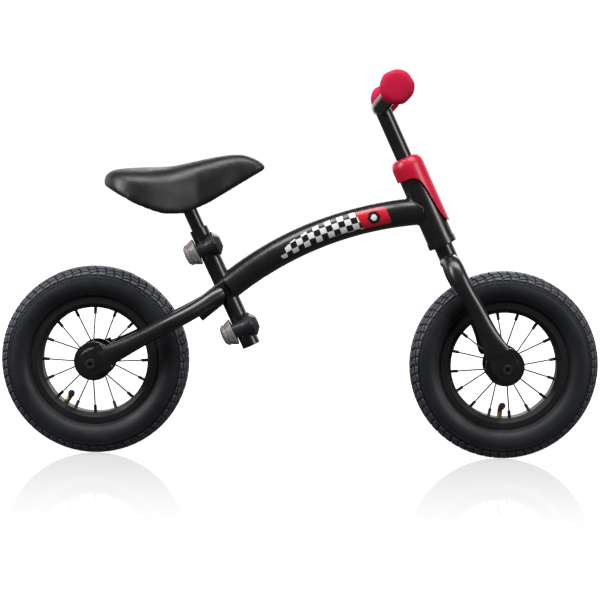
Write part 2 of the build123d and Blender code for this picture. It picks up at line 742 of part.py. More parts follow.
BOLT_SPOTS = GridLocations(44, 26, 2, 2)
BRACKET_T = 3.0
bracket_top = BASE_PLANE.offset(-BASE_T)
with BuildPart() as saddle_base:
    extrude(hollow_plan(1), amount=130)
    split(bisect_by=BASE_PLANE, keep=Keep.BOTTOM)
    split(bisect_by=bracket_top, keep=Keep.TOP)
    with BuildSketch(bracket_top):
        with BOLT_SPOTS:
            Circle(2.6)
    extrude(amount=BASE_T, mode=Mode.SUBTRACT)
saddle_base.part.label = "saddle_base"
export_step(saddle_base.part, "parts/saddle_base.step")

# Steel bracket: a socket on the seat post, welded to a bolted plate.
with BuildPart() as saddle_bracket:
    rod(seat, 116, 60, POST_R + 3)
    split(bisect_by=bracket_top, keep=Keep.BOTTOM)
    with BuildSketch(bracket_top):
        RectangleRounded(60, 40, 5)
    extrude(amount=-BRACKET_T)
    rod(seat, 100, POST_V[1] - 100, POST_R, Mode.SUBTRACT)
    with BuildSketch(bracket_top):
        with BOLT_SPOTS:
            Circle(2.6)
    extrude(amount=-BRACKET_T, mode=Mode.SUBTRACT)
saddle_bracket.part.label = "saddle_bracket"
export_step(saddle_bracket.part, "parts/saddle_bracket.step")

with BuildPart() as saddle_bolts:
    with BuildSketch(bracket_top.offset(-BRACKET_T)):
        with BOLT_SPOTS:
            Circle(2.5)
    extrude(amount=BRACKET_T + BASE_T - 0.2)
    with BuildSketch(bracket_top.offset(-BRACKET_T)):
        with BOLT_SPOTS:
            RegularPolygon(4.6, 6)
    extrude(amount=-3)
saddle_bolts.part.label = "saddle_bolts"
export_step(saddle_bolts.part, "parts/saddle_bolts.step")
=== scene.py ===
import json
import math

import bmesh
import bpy
import numpy as np
from mathutils import Matrix, Vector


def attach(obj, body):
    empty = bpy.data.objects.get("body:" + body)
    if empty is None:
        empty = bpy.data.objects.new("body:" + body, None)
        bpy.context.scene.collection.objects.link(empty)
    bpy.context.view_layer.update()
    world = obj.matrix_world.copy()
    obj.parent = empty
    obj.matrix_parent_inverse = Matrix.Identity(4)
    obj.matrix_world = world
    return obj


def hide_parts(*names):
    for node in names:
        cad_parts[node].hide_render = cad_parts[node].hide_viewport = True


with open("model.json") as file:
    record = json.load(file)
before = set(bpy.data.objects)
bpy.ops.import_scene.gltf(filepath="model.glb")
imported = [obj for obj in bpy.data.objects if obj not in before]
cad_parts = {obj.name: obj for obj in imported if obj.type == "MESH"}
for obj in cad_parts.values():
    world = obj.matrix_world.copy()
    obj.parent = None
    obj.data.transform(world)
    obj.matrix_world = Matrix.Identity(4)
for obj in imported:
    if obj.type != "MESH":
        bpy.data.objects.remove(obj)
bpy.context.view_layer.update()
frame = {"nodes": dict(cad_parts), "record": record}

nodes = frame["nodes"]
MM = 0.001
scene = bpy.context.scene

# ---------------------------------------------------------------- camera
TARGET = Vector((0.0001, 0.0, 0.2161))
DISTANCE = 2.2
LENS_MM, SENSOR_MM = 95.7, 36
PITCH, YAW, ROLL = math.radians(4.911), math.radians(0.836), math.radians(0.711)
forward = Vector((
    -math.sin(YAW) * math.cos(PITCH),
    math.cos(YAW) * math.cos(PITCH),
    -math.sin(PITCH),
))
level_right = forward.cross(Vector((0, 0, 1))).normalized()
level_up = level_right.cross(forward)
right = level_right * math.cos(ROLL) + level_up * math.sin(ROLL)
up = level_up * math.cos(ROLL) - level_right * math.sin(ROLL)
camera_data = bpy.data.cameras.new("camera")
camera_data.lens = LENS_MM
camera_data.sensor_width = SENSOR_MM
camera_data.clip_start, camera_data.clip_end = 0.05, 200
camera = bpy.data.objects.new("camera", camera_data)
scene.collection.objects.link(camera)
camera.matrix_world = Matrix((
    (right.x, up.x, -forward.x, TARGET.x - forward.x * DISTANCE),
    (right.y, up.y, -forward.y, TARGET.y - forward.y * DISTANCE),
    (right.z, up.z, -forward.z, TARGET.z - forward.z * DISTANCE),
    (0, 0, 0, 1),
))
scene.camera = camera

# ---------------------------------------------------------------- the bike's own frames, in mm
LEAN = math.radians(25)     # the steering axis leans back by this much
FORWARD = np.array((math.cos(LEAN), 0, math.sin(LEAN)))
UPWARD = np.array((-math.sin(LEAN), 0, math.cos(LEAN)))
ACROSS = np.array((0, 1.0, 0))
HEAD_BASE = np.array((195.4, 0, 294.6))
AXLE_X = 282.0
TYRE_R = 130.0
MAIN_R = 19.05
MAIN_ARC_R = 474.0
MAIN_ARC_C = np.array((204.1, 0, -131.2))


def head_point(u, y, v):
    """Point by its offsets forward of, across and up the steering axis."""
    return HEAD_BASE + FORWARD * u + ACROSS * y + UPWARD * v


# ---------------------------------------------------------------- materials
def make_material(name, colour, rough, **finish):
    """Procedural surface: mottled colour, worn edges, fine grain and uneven gloss."""
    get = finish.get
    material = bpy.data.materials.new(name)
    material.use_nodes = True
    tree = material.node_tree
    shader = tree.nodes["Principled BSDF"]

    def node(kind, **inputs):
        made = tree.nodes.new(kind)
        for key, value in inputs.items():
            made.inputs[key.replace("_", " ")].default_value = value
        return made

    def link(a, b):
        tree.links.new(a, b)

    def mix(factor, a, b):
        made = tree.nodes.new("ShaderNodeMix")
        made.data_type = "RGBA"
        link(factor, made.inputs["Factor"])
        for value, socket in ((a, made.inputs["A"]), (b, made.inputs["B"])):
            if isinstance(value, tuple):
                socket.default_value = (*value, 1)
            else:
                link(value, socket)
        return made.outputs["Result"]

    def remap(value, low, high, to_low, to_high):
        made = tree.nodes.new("ShaderNodeMapRange")
        made.inputs["From Min"].default_value = low
        made.inputs["From Max"].default_value = high
        made.inputs["To Min"].default_value = to_low
        made.inputs["To Max"].default_value = to_high
        link(value, made.inputs["Value"])
        return made.outputs["Result"]

    where = tree.nodes.new("ShaderNodeTexCoord").outputs["Object"]
    mottle = node("ShaderNodeTexNoise", Scale=22.0, Detail=4.0)
    grain = node("ShaderNodeTexNoise", Scale=get("grain", 900.0), Detail=3.0)
    smudge = node("ShaderNodeTexNoise", Scale=get("smudge", 60.0), Detail=5.0)
    for each in (mottle, grain, smudge):
        link(where, each.inputs["Vector"])

    spread = get("spread", 0.25)
    dark = tuple(c * (1 - spread) for c in colour)
    light = tuple(min(c * (1 + spread), 1) for c in colour)
    paint = mix(remap(mottle.outputs["Fac"], 0.35, 0.65, 0, 1), dark, light)    # clouded colour
    paint = mix(remap(grain.outputs["Fac"], 0.6, 0.75, 0, get("flake", 0.1)), paint, get("fleck", light))
    # Optional painted light: a point attribute mixes a lighter colour onto chosen points, standing in for
    # light falling on them.
    if "attribute" in finish:
        raised = tree.nodes.new("ShaderNodeAttribute")
        raised.attribute_name = finish["attribute"]
        paint = mix(raised.outputs["Fac"], paint, finish["raised"])

    # Rounded edges catch the light, and the finish is rubbed thin on them.
    soft = node("ShaderNodeBevel", Radius=get("bevel", 0.6) * MM)
    soft.samples = 4
    flat = tree.nodes.new("ShaderNodeNewGeometry")
    dot = tree.nodes.new("ShaderNodeVectorMath")
    dot.operation = "DOT_PRODUCT"
    link(soft.outputs["Normal"], dot.inputs[0])
    link(flat.outputs["Normal"], dot.inputs[1])
    edge = remap(dot.outputs["Value"], 0.98, 0.8, 0, get("wear", 0.3))
    paint = mix(edge, paint, get("worn", light))
    link(paint, shader.inputs["Base Color"])

    uneven = get("uneven", 0.06)
    link(
        remap(smudge.outputs["Fac"], 0.3, 0.7, rough - uneven, rough + uneven),
        shader.inputs["Roughness"],
    )
    bump = node("ShaderNodeBump", Strength=get("bump", 0.15), Distance=get("depth", 0.15) * MM)
    link(grain.outputs["Fac"], bump.inputs["Height"])
    link(soft.outputs["Normal"], bump.inputs["Normal"])
    link(bump.outputs["Normal"], shader.inputs["Normal"])

    shader.inputs["Metallic"].default_value = get("metallic", 0.0)
    shader.inputs["Coat Weight"].default_value = get("coat", 0.0)
    shader.inputs["Coat Roughness"].default_value = get("coat_rough", 0.2)
    shader.inputs["Transmission Weight"].default_value = get("clear", 0.0)
    shader.inputs["Specular IOR Level"].default_value = get("specular", 0.5)
    return material


look = {
    "frame_paint": make_material(
        "frame_paint", (0.0065, 0.0065, 0.007), 0.32, coat=0.5, coat_rough=0.2, specular=0.6, bump=0.02,
        uneven=0.04, flake=0.15, fleck=(0.02, 0.02, 0.022), grain=1800.0, wear=0.18, worn=(0.04, 0.04, 0.043),
    ),
    "rim_paint": make_material(
        "rim_paint", (0.017, 0.016, 0.016), 0.42, metallic=0.2, wear=0.25, worn=(0.07, 0.07, 0.07),
    ),
    "black_steel": make_material(
        "black_steel", (0.05, 0.05, 0.05), 0.38, metallic=0.6, wear=0.4, worn=(0.12, 0.12, 0.12),
    ),
    "steel": make_material(
        "steel", (0.4, 0.4, 0.42), 0.3, metallic=1.0, wear=0.3, worn=(0.7, 0.7, 0.7), smudge=140.0,
    ),
    "hub_plastic": make_material(
        "hub_plastic", (0.008, 0.008, 0.009), 0.4, wear=0.3, worn=(0.05, 0.05, 0.05), grain=1500.0,
    ),
    "knob_plastic": make_material(
        "knob_plastic", (0.02, 0.02, 0.026), 0.38, wear=0.35, worn=(0.07, 0.07, 0.08), bevel=1.2,
    ),
    "grey_plastic": make_material(
        "grey_plastic", (0.33, 0.3, 0.29), 0.28, clear=0.25, wear=0.4, worn=(0.5, 0.47, 0.46), bevel=0.9,
    ),
    "red_plastic": make_material(
        "red_plastic", (0.66, 0.005, 0.045), 0.36, coat=0.15, coat_rough=0.22, spread=0.08, bump=0.02,
        wear=0.4, worn=(0.78, 0.06, 0.12), bevel=0.9, flake=0.02, uneven=0.03,
    ),
    "grip_rubber": make_material(
        "grip_rubber", (0.64, 0.004, 0.05), 0.6, spread=0.1, bump=0.15, depth=0.2, specular=0.25,
        grain=1200.0, wear=0.3, worn=(0.75, 0.04, 0.1), flake=0.04,
    ),
    # The tyre's tread block faces are painted lighter as a painted highlight, and the block walls and grooves
    # stay darker as painted shade.
    "tyre_rubber": make_material(
        "tyre_rubber", (0.0095, 0.0105, 0.015), 0.5, spread=0.3, attribute="raised",
        raised=(0.07, 0.074, 0.09), bump=0.3, depth=0.2, wear=0.35, worn=(0.07, 0.07, 0.08), bevel=0.5,
    ),
    "tube_rubber": make_material("tube_rubber", (0.02, 0.02, 0.02), 0.6),
    "saddle_vinyl": make_material(
        "saddle_vinyl", (0.009, 0.009, 0.0095), 0.42, spread=0.15, grain=1100.0, bump=0.14, depth=0.2,
        wear=0.1, worn=(0.02, 0.02, 0.02), bevel=1.0, specular=0.6,
    ),
    "base_plastic": make_material("base_plastic", (0.015, 0.015, 0.015), 0.55, grain=700.0),
    "brass": make_material(
        "brass", (0.62, 0.4, 0.13), 0.3, metallic=1.0, wear=0.4, worn=(0.85, 0.65, 0.3),
    ),
    "decal_red": make_material("decal_red", (0.72, 0.012, 0.03), 0.3, spread=0.08, coat=0.4, wear=0.2),
    "decal_white": make_material("decal_white", (0.92, 0.92, 0.92), 0.32, spread=0.03, coat=0.4),
    "decal_black": make_material("decal_black", (0.012, 0.012, 0.013), 0.3, coat=0.4),
}
slot_of = {s["node"]: s["material_slot"] for s in frame["record"]["subparts"]}
for node_name, piece in nodes.items():
    piece.data.materials.clear()
    piece.data.materials.append(look[slot_of[node_name]])


# ---------------------------------------------------------------- mesh helpers
def make_piece(name, points, faces, body, slot, materials=None, sharp=40, picks=None):
    """A mesh piece from points in mm, riding on a body."""
    mesh = bpy.data.meshes.new(name)
    mesh.from_pydata([tuple(p) for p in np.asarray(points) * MM], [], faces)
    mesh.update()
    for material in materials or [look[slot]]:
        mesh.materials.append(material)
    if picks is not None:
        mesh.polygons.foreach_set("material_index", picks)
    mesh.shade_smooth()
    mesh.set_sharp_from_angle(angle=math.radians(sharp))
    piece = bpy.data.objects.new(name, mesh)
    scene.collection.objects.link(piece)
    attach(piece, body)
    return piece


def grid_faces(rows, columns, first=0, close_rows=False, close_columns=False):
    """Quads over a grid of points stored row by row."""
    faces = []
    for i in range(rows if close_rows else rows - 1):
        for j in range(columns if close_columns else columns - 1):
            a, b = i * columns + j, i * columns + (j + 1) % columns
            c, d = ((i + 1) % rows) * columns + (j + 1) % columns, ((i + 1) % rows) * columns + j
            faces.append((first + a, first + b, first + c, first + d))
    return faces


def curve_through(points, count):
    """Even samples of a smooth curve through the points."""
    p = np.asarray(points, float)
    p = np.vstack((2 * p[0] - p[1], p, 2 * p[-1] - p[-2]))
    dense = []
    for i in range(1, len(p) - 2):
        for t in np.linspace(0, 1, 40, endpoint=False):
            dense.append(0.5 * (
                2 * p[i] + (p[i + 1] - p[i - 1]) * t
                + (2 * p[i - 1] - 5 * p[i] + 4 * p[i + 1] - p[i + 2]) * t ** 2
                + (3 * p[i] - p[i - 1] - 3 * p[i + 1] + p[i + 2]) * t ** 3
            ))
    dense = np.array(dense + [p[-2]])
    run = np.concatenate(([0], np.cumsum(np.linalg.norm(np.diff(dense, axis=0), axis=1))))
    return np.column_stack([
        np.interp(np.linspace(0, run[-1], count), run, dense[:, k]) for k in range(dense.shape[1])
    ])


# ---------------------------------------------------------------- tyres
CASING_R, HALF_W, HALF_H = 107.0, 25.0, 23.0
WALL = 4.0
TREAD_R, TREAD_DEPTH = CASING_R + 15, 2.0
REPEATS = 33
REPEAT_ANGLE = 2 * math.pi / REPEATS
STEPS = 6 * REPEATS
# A block is a grid whose rings stand at the ground, the chamfer's foot and the face: (inset, height).
BLOCK_GRID = 8
BLOCK_RINGS = ((0.0, -TREAD_DEPTH - 0.3), (0.0, -0.45), (0.45, 0.0))
RIDGES = (19.5, 22.5, 25.5, 28.2)     # angles up the casing of the sidewall's ridges
# The bead inside the rim: (side, radius).
BEAD = ((9.7, 88.6), (9.7, 80.2), (13.1, 80.2), (13.2, 87.6))
# One repeat of the tread on one side: corners as (share of the repeat, angle up the casing).
BLOCKS = (
    ((0.03, 32), (0.47, 32), (0.47, 45), (0.03, 45)),
    ((0.53, 32), (0.97, 32), (0.97, 36.5), (0.53, 43)),
    ((0.53, 46), (0.97, 39.5), (1.0, 52), (0.62, 56)),
    ((0.05, 47.5), (0.47, 47.5), (0.57, 60), (0.14, 60)),
    ((0.66, 58.5), (1.01, 54.5), (1.08, 63.5), (0.70, 63.5)),
    ((0.17, 62.5), (0.61, 62.5), (0.74, 84), (0.30, 86)),
    ((0.71, 66), (1.11, 66), (1.24, 86), (0.82, 84)),
)


def casing_point(axle_x, theta, t, lift):
    """Point over the tyre's casing; theta runs round the axle and t up the section."""
    y, r = HALF_W * np.cos(t), CASING_R + HALF_H * np.sin(t)
    ny, nr = np.cos(t) / HALF_W, np.sin(t) / HALF_H
    size = np.hypot(ny, nr)
    y, r = y + ny / size * lift, r + nr / size * lift
    return np.stack(
        np.broadcast_arrays(axle_x + r * np.cos(theta), y, TYRE_R + r * np.sin(theta)), axis=-1
    )


def outer_profile():
    """Angles up the section and lift off the casing: ridged sidewalls and sunken tread ground."""
    degrees_up = np.concatenate((
        [-52, -49, -46, -44, -42, -40, -38, -35], np.arange(-30, 20, 5),
        np.arange(18, 30, 0.75), [30.4, 31.4, 33], np.arange(37, 91, 6),
    ))
    lift = np.zeros(len(degrees_up))
    for ridge in RIDGES:
        lift += 0.45 * np.exp(-((degrees_up - ridge) / 0.8) ** 2) - 0.1
    lift -= (TREAD_DEPTH - 0.4) * np.clip((degrees_up - 29) / 2, 0, 1)
    lift += 0.6 * np.exp(-((degrees_up + 43) / 2.2) ** 2)
    lift = np.clip(lift, -TREAD_DEPTH, 0.0) + np.where(degrees_up < 0, np.maximum(lift, 0), 0)
    t = np.radians(np.concatenate((degrees_up, 180 - degrees_up[::-1])))
    return t, np.concatenate((lift, lift[::-1]))


def make_casing(axle_x):
    """Points and faces of the hollow casing, a closed section swept round the axle."""
    t, lift = outer_profile()
    inner_t = np.radians(np.linspace(228, -48, 13))
    bead = np.array([(y, 0, r) for y, r in BEAD])
    points = []
    for theta in np.linspace(0, 2 * math.pi, STEPS, endpoint=False):
        turn = np.array((math.cos(theta), 0, math.sin(theta)))
        near_bead = (axle_x, 0, TYRE_R) + bead[:, :1] * ACROSS + bead[:, 2:] * turn
        far_bead = near_bead[::-1] * (1, -1, 1)
        outer = casing_point(axle_x, theta, t, lift)
        inner = casing_point(axle_x, theta, inner_t, np.full(len(inner_t), -WALL))
        points.append(np.vstack((outer, far_bead, inner, near_bead)))
    faces = grid_faces(STEPS, len(points[0]), close_rows=True, close_columns=True)
    return list(np.vstack(points)), faces


def make_block(axle_x, corners, k):
    """One tread block of the repeat k: its points, and how far each is raised to the face, which weights its
    painted highlight.
    """
    size_u = max(np.ptp(corners[:, 0]) * REPEAT_ANGLE * TREAD_R, 1)
    size_t = max(np.ptp(np.radians(corners[:, 1])) * (HALF_W + HALF_H) / 2, 1)
    share = (0, 0, 0, 1 / 3, 2 / 3, 1, 1, 1)
    spots, raised = [], []
    for i in range(BLOCK_GRID):
        for j in range(BLOCK_GRID):
            ring = min(i, j, BLOCK_GRID - 1 - i, BLOCK_GRID - 1 - j, 2)
            inset, height = BLOCK_RINGS[ring]
            a = np.clip(share[i], inset / size_u, 1 - inset / size_u)
            b = np.clip(share[j], inset / size_t, 1 - inset / size_t)
            u, degrees_up = (
                corners[0] * (1 - a) * (1 - b) + corners[1] * a * (1 - b)
                + corners[2] * a * b + corners[3] * (1 - a) * b
            )
            spots.append(((k + u) * REPEAT_ANGLE, math.radians(degrees_up), height))
            # Painted light: the face takes the full painted highlight, the chamfer's foot 0.35 of it, and the
            # groove floor none, as painted shade.
            raised.append(1.0 if ring == 2 else 0.35 * ring)
    return casing_point(axle_x, *np.array(spots).T), raised


def mirrored(corners):
    """The same block on the tyre's other side, half a repeat on, with its faces still outward."""
    over = np.column_stack((corners[::-1, 0] + 0.5, 180 - corners[::-1, 1]))
    return np.roll(over, 2, axis=0)


def make_tyre(end, axle_x):
    """Casing and two mirrored rows of tread blocks, with a point attribute that paints the blocks' faces
    lighter as painted highlight and leaves the grooves darker as painted shade.
    """
    points, faces = make_casing(axle_x)
    raised = [0.0] * len(points)
    blocks = [np.array(corners, float) for corners in BLOCKS]
    for row in (blocks, [mirrored(corners) for corners in blocks]):
        for k in range(REPEATS):
            for corners in row:
                faces.extend(grid_faces(BLOCK_GRID, BLOCK_GRID, len(points)))
                block, block_raised = make_block(axle_x, corners, k)
                points.extend(block)
                raised.extend(block_raised)
    piece = make_piece(f"{end}_tyre_treaded", points, faces, f"{end}_wheel", "tyre_rubber", sharp=50)
    # The attribute carries the painted highlight on the block faces and the painted shade in the grooves.
    layer = piece.data.attributes.new("raised", "FLOAT", "POINT")
    layer.data.foreach_set("value", raised)
    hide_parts(f"{end}_tyre")


make_tyre("front", AXLE_X)
make_tyre("rear", -AXLE_X)

# ---------------------------------------------------------------- handlebar grips
GRIP_CENTRE = head_point(18.6, 0, 218.0)


def make_grip(hand, side):
    """Soft grip: fluted sleeve with shallow finger rings and a lumpy safety end."""
    profile = [(88.2, 11.3), (88.2, 14.6), (89.2, 16.6), (91, 17.4), (92.8, 16.6), (94, 15.0)]
    body = curve_through([(95.5, 15.0), (112, 15.7), (135, 16.1), (160, 15.5), (182, 14.7)], 60)
    profile += [tuple(p) for p in body]
    profile += [tuple(p) for p in curve_through(
        [(183.5, 14.9), (187, 16.2), (190, 19.6), (192.4, 21.8), (194.5, 22.2), (196.8, 21.2),
         (198.8, 17.5), (199.6, 11), (199.8, 4), (199.8, 0.01)], 36,
    )]
    profile = np.array(profile)
    steps = 144
    points = []
    for k in range(steps):
        a = 2 * math.pi * k / steps
        y, r = profile[:, 0], profile[:, 1].copy()
        sleeve = np.clip((y - 96) / 3, 0, 1) * np.clip((181 - y) / 3, 0, 1)
        r += sleeve * (0.28 * math.sin(24 * a) - 0.35 * np.cos(y * 2 * math.pi / 10.5) ** 8)
        end = np.clip((y - 186) / 4, 0, 1) * np.clip(r / 22, 0, 1)
        r -= end * (0.55 + 0.35 * math.sin(5 * a + 0.7) + 0.2 * math.sin(9 * a))
        radial = FORWARD * math.cos(a) + UPWARD * math.sin(a)
        points.append(GRIP_CENTRE + ACROSS * (side * y)[:, None] + radial * r[:, None])
    count = len(profile)
    faces = grid_faces(steps, count, close_rows=True)
    if side > 0:
        faces = [f[::-1] for f in faces]
    piece = make_piece(f"{hand}_grip_moulded", np.vstack(points), faces, "steering", "grip_rubber")
    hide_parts(f"{hand}_grip")


make_grip("right", -1)
make_grip("left", 1)


# ---------------------------------------------------------------- printed bands on the main tube
def on_main(phi, w, side, lift):
    """Point over the main tube: phi along its arc in degrees, w up from its middle in mm."""
    out = np.array((math.cos(math.radians(phi)), 0, math.sin(math.radians(phi))))
    y = side * math.sqrt(max(MAIN_R ** 2 - w ** 2, 0))
    grow = (MAIN_R + lift) / MAIN_R
    return MAIN_ARC_C + out * (MAIN_ARC_R + w * grow) + ACROSS * y * grow


def add_patch(store, spots, side, pick, lift=0.3):
    """A thin closed patch over a grid of (phi, w) spots."""
    points, faces, picks = store
    rows, columns = len(spots), len(spots[0])
    first = len(points)
    for height in (lift, lift - 0.25):
        points.extend(on_main(phi, w, side, height) for row in spots for phi, w in row)
    top = grid_faces(rows, columns, first)
    low = [tuple(v + rows * columns for v in f[::-1]) for f in top]
    rim = [i * columns for i in range(rows)]
    rim += [(rows - 1) * columns + j for j in range(1, columns)]
    rim += [i * columns + columns - 1 for i in range(rows - 2, -1, -1)]
    rim += [j for j in range(columns - 2, 0, -1)]
    wall = []
    for a, b in zip(rim, rim[1:] + rim[:1]):
        wall.append((first + a, first + b, first + b + rows * columns, first + a + rows * columns))
    made = top + low + wall
    if side > 0:
        made = [f[::-1] for f in made]
    faces.extend(made)
    picks.extend([pick] * len(made))


# The chequered band: angles along the tube in degrees, heights up from its middle in mm.
BAND_START, BAND_STEP, BAND_SQUARES = 119.35, 1.07, 15
ROW_BASE, ROW_STEP = -1.6, 8.3
BAND_TOP = ((105, 13.2), (109.5, 13.2), (111.6, 12.7), (113.8, 10.6), (117, 6.3), (118.4, 1.8), (119.4, -3))
BAND_LOW = ((105, -11.3), (109.8, -10), (115, -9.6), (118.6, -10.2), (119.1, -9.6), (119.4, -5))
PANEL_LOW, PANEL_TOP, PANEL_CORNER = -11.4, 12.6, 4.0
BADGE_PHI, BADGE_W = 102.72, 0.5


def band_limits(phi):
    """Lower and upper edge of the band, which narrows to a rounded tail."""
    return [np.interp(phi, *zip(*edge)) for edge in (BAND_LOW, BAND_TOP)]


def panel_edge(w):
    """The slanted left edge of the red panel."""
    return 104.74 + (w + 11.5) * 0.79 / 24.1


def add_hexagon(store, side, pick, radius, lift):
    """A hexagonal patch in the red panel's middle, as rings of spots from its centre out."""
    corner = [(math.cos(k * math.pi / 3), math.sin(k * math.pi / 3)) for k in range(6)]
    spots = []
    for r in np.linspace(0.02, 1, 6):
        row = []
        for k in range(24):
            a, b = corner[k // 4], corner[(k // 4 + 1) % 6]
            s = (k % 4) / 4
            x, y = a[0] + (b[0] - a[0]) * s, a[1] + (b[1] - a[1]) * s
            row.append((BADGE_PHI - math.degrees(x * r * radius / MAIN_ARC_R), BADGE_W + y * r * radius))
        spots.append(row + row[:1])
    add_patch(store, spots, side, pick, lift)


def band_spot(phi, w):
    """A spot of the band's slanted grid, kept inside the band's outline and off the panel."""
    low, top = band_limits(phi)
    w = min(max(w, low), top)
    lean = math.tan(math.radians(21 - (phi - 90)))
    phi += math.degrees(w / MAIN_ARC_R) * lean
    return max(phi, panel_edge(w) + 0.02), w


def make_band(hand, side):
    """Chequered band: each square is a small patch cut off at the band's outline."""
    store = ([], [], [])
    shares = np.linspace(0, 1, 5)
    for i in range(BAND_SQUARES):
        for j in range(-2, 3):
            spots = []
            for b in shares:
                row = []
                for a in shares:
                    phi = BAND_START - BAND_STEP * (i + a)
                    sunk = 3.0 * np.clip((phi - 114) / 4.5, 0, 1)
                    row.append(band_spot(phi, ROW_BASE + ROW_STEP * (j + b) - sunk))
                spots.append(row)
            phis, heights = np.array(spots).reshape(-1, 2).T
            if np.ptp(heights) > 0.4 and np.ptp(phis) > 0.1:
                add_patch(store, spots, side, (i + j) % 2)
    make_piece(
        f"chequer_band_{hand}", store[0], store[1], "frame", "frame_paint",
        [look["decal_black"], look["decal_white"]], picks=store[2],
    )


def make_panel(hand, side):
    """Red panel with rounded front corners, and a plain hexagon in place of a badge."""
    store = ([], [], [])
    spots = []
    for w in np.linspace(PANEL_LOW, PANEL_TOP, 25):
        near = min(w - PANEL_LOW, PANEL_TOP - w, PANEL_CORNER)
        cut = PANEL_CORNER - math.sqrt(PANEL_CORNER ** 2 - (PANEL_CORNER - near) ** 2)
        front = 99.9 + (w - PANEL_LOW) * 0.7 / 24 + math.degrees(cut / MAIN_ARC_R)
        back = panel_edge(w)
        spots.append([(back + (front - back) * a, w) for a in np.linspace(0, 1, 13)])
    add_patch(store, spots, side, 0, 0.34)
    add_hexagon(store, side, 1, 9.2, 0.55)
    add_hexagon(store, side, 2, 4.6, 0.75)
    make_piece(
        f"red_panel_{hand}", store[0], store[1], "frame", "red_plastic",
        [look["decal_red"], look["decal_black"], look["decal_white"]], picks=store[2],
    )


for hand, side in (("right", -1), ("left", 1)):
    make_band(hand, side)
    make_panel(hand, side)


# ---------------------------------------------------------------- weld bead
BEAD_RADIUS, BEAD_SIDES, BEAD_POINTS = 1.1, 10, 150


def main_meets(base, axis_dir, radius, low, high):
    """Where the main tube's surface enters an upright tube, all round the main tube."""
    line = []
    for psi in np.linspace(0, 2 * math.pi, BEAD_POINTS, endpoint=False):
        a, b = low, high
        for _ in range(30):
            mid = (a + b) / 2
            out = np.array((math.cos(math.radians(mid)), 0, math.sin(math.radians(mid))))
            p = MAIN_ARC_C + out * (MAIN_ARC_R + MAIN_R * math.cos(psi))
            p = p + ACROSS * MAIN_R * math.sin(psi) * 0.995
            away = p - base
            away = away - axis_dir * np.dot(away, axis_dir)
            if np.linalg.norm(away) > radius:
                a = mid
            else:
                b = mid
        line.append(p)
    return line


def make_bead(name, centres):
    """A rippled weld round a closed line of points."""
    points = []
    for i, centre in enumerate(centres):
        along = centres[(i + 1) % len(centres)] - centres[i - 1]
        along = along / np.linalg.norm(along)
        side = np.cross(along, ACROSS + 0.3 * FORWARD)
        side /= np.linalg.norm(side)
        other = np.cross(along, side)
        radius = BEAD_RADIUS * (1 + 0.1 * math.sin(i * 2.1))
        for a in np.linspace(0, 2 * math.pi, BEAD_SIDES, endpoint=False):
            points.append(centre + radius * (side * math.cos(a) + other * math.sin(a)))
    faces = grid_faces(len(centres), BEAD_SIDES, close_rows=True, close_columns=True)
    make_piece(name, points, faces, "frame", "frame_paint")


HEAD_TUBE_R = 19.5
make_bead("head_weld", main_meets(HEAD_BASE, UPWARD, HEAD_TUBE_R, 104, 94.55))

# ---------------------------------------------------------------- saddle
# The cushion from the side: its top line and its lower edge, from back to nose.
TOP_LINE = (
    (-269.6, 376), (-266.3, 386.4), (-259.4, 392.5), (-249, 395.5), (-225, 397.2), (-203, 398),
    (-180, 399.4), (-156.5, 404), (-131, 410.3), (-105, 416), (-88, 417.6), (-77.7, 416.9),
    (-67.4, 413.6), (-57, 407.8), (-50, 400.2), (-48.8, 397),
)
LOW_LINE = (
    (-269.6, 371), (-254, 363.5), (-242, 357), (-226, 348.3), (-209, 341), (-194, 335.3),
    (-180, 332.2), (-167, 332), (-154, 335), (-138, 341), (-115, 355), (-90, 370.5), (-50, 395), (-48.8, 396),
)
# Half widths along it: the outside, and the hollow under it that takes the base plate.
PLAN_LINE = (
    (-269.6, 10), (-268, 25), (-262, 43), (-250, 61), (-228, 72.5), (-208, 71), (-186, 62.5), (-160, 49),
    (-138, 38.5), (-128, 37), (-118, 35.8), (-108, 33), (-98, 29), (-88, 25), (-75, 21.5), (-60, 17),
    (-52, 11), (-48.8, 5),
)
HOLLOW_LINE = (
    (-254, 0), (-252, 24), (-247, 40), (-225, 60), (-186, 47), (-160, 34), (-140, 25), (-115, 14),
    (-95, 6), (-88, 0),
)
# Half of the section, from the top's middle to the lower edge, as shares of width and height.
SECTION = (
    (0, 0), (0.18, 0.004), (0.36, 0.02), (0.54, 0.055), (0.7, 0.115), (0.82, 0.2), (0.9, 0.31),
    (0.935, 0.45), (0.95, 0.6), (0.97, 0.76), (0.99, 0.9), (0.985, 1.0),
)
BACK_X, NOSE_X = TOP_LINE[0][0], TOP_LINE[-1][0]
STATIONS = 90
TIP_FADE = 12               # the skin thins out over this length at both tips
SKIN = 2.2                  # what the swelling and the cover add to the shell
HOLLOW_END = -108           # no hollow forward of here
HOLLOW_LEAST = 9
VOXEL = 0.0036
SWELL_FRAMES = 20
SWELL_CAP = 2.6
HELD_MARGIN = 3             # vertices this close to the base plate or the lower edge don't move

lines = {
    key: curve_through(line, 400)
    for key, line in (("top", TOP_LINE), ("low", LOW_LINE), ("plan", PLAN_LINE), ("hollow", HOLLOW_LINE))
}


def line_at(key, x):
    return np.interp(x, lines[key][:, 0], lines[key][:, 1], left=0, right=0)


def roof_at(x):
    """Upper face of the saddle's base plate."""
    return 381 + (x + 173.5) * 14 / 157


